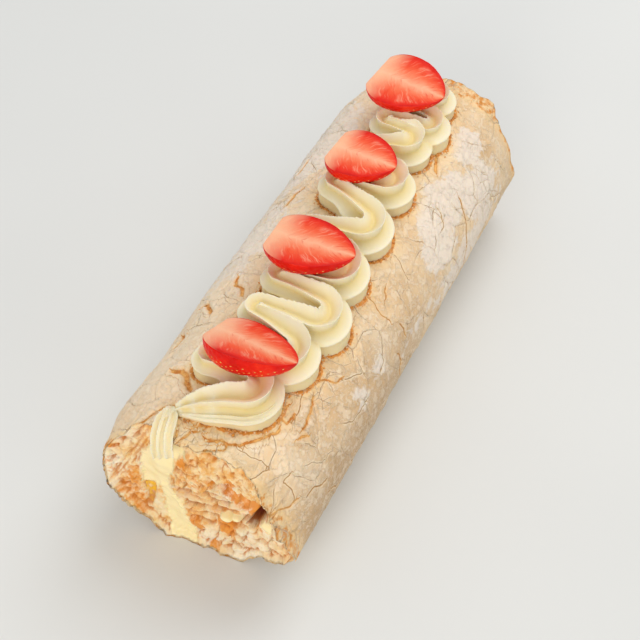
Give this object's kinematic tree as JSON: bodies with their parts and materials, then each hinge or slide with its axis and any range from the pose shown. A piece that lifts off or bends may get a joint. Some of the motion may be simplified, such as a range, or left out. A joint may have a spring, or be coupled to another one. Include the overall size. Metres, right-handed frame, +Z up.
{
  "type": "meringue roulade",
  "caption": "Rolled baked meringue sheet filled with whipped cream, with a zigzag piped cream border along the top and halved strawberries laid on it.",
  "frame": {"origin": "middle of the box that holds the whole, on the surface it rests on", "axes": "+X along the roll from its broken near end to its far end, +Z up, the berries' tips point to -Y"},
  "size_m": [0.299, 0.1138, 0.1109],
  "materials": {
    "baked_meringue": "matt, dry and brittle, cracked, dusted with fine sugar",
    "filling_cream": "soft, slightly glossy whipped cream",
    "whipped_cream": "smooth satin piped cream",
    "strawberry_flesh": "moist fruit flesh, seeded skin below"
  },
  "bodies": {
    "root": {"meringue_sheet": "baked_meringue", "cream_filling": "filling_cream", "piped_cream": "whipped_cream", "cream_dab": "whipped_cream", "strawberry_1": "strawberry_flesh", "strawberry_2": "strawberry_flesh", "strawberry_3": "strawberry_flesh", "strawberry_4": "strawberry_flesh"}
  },
  "joints": []
}
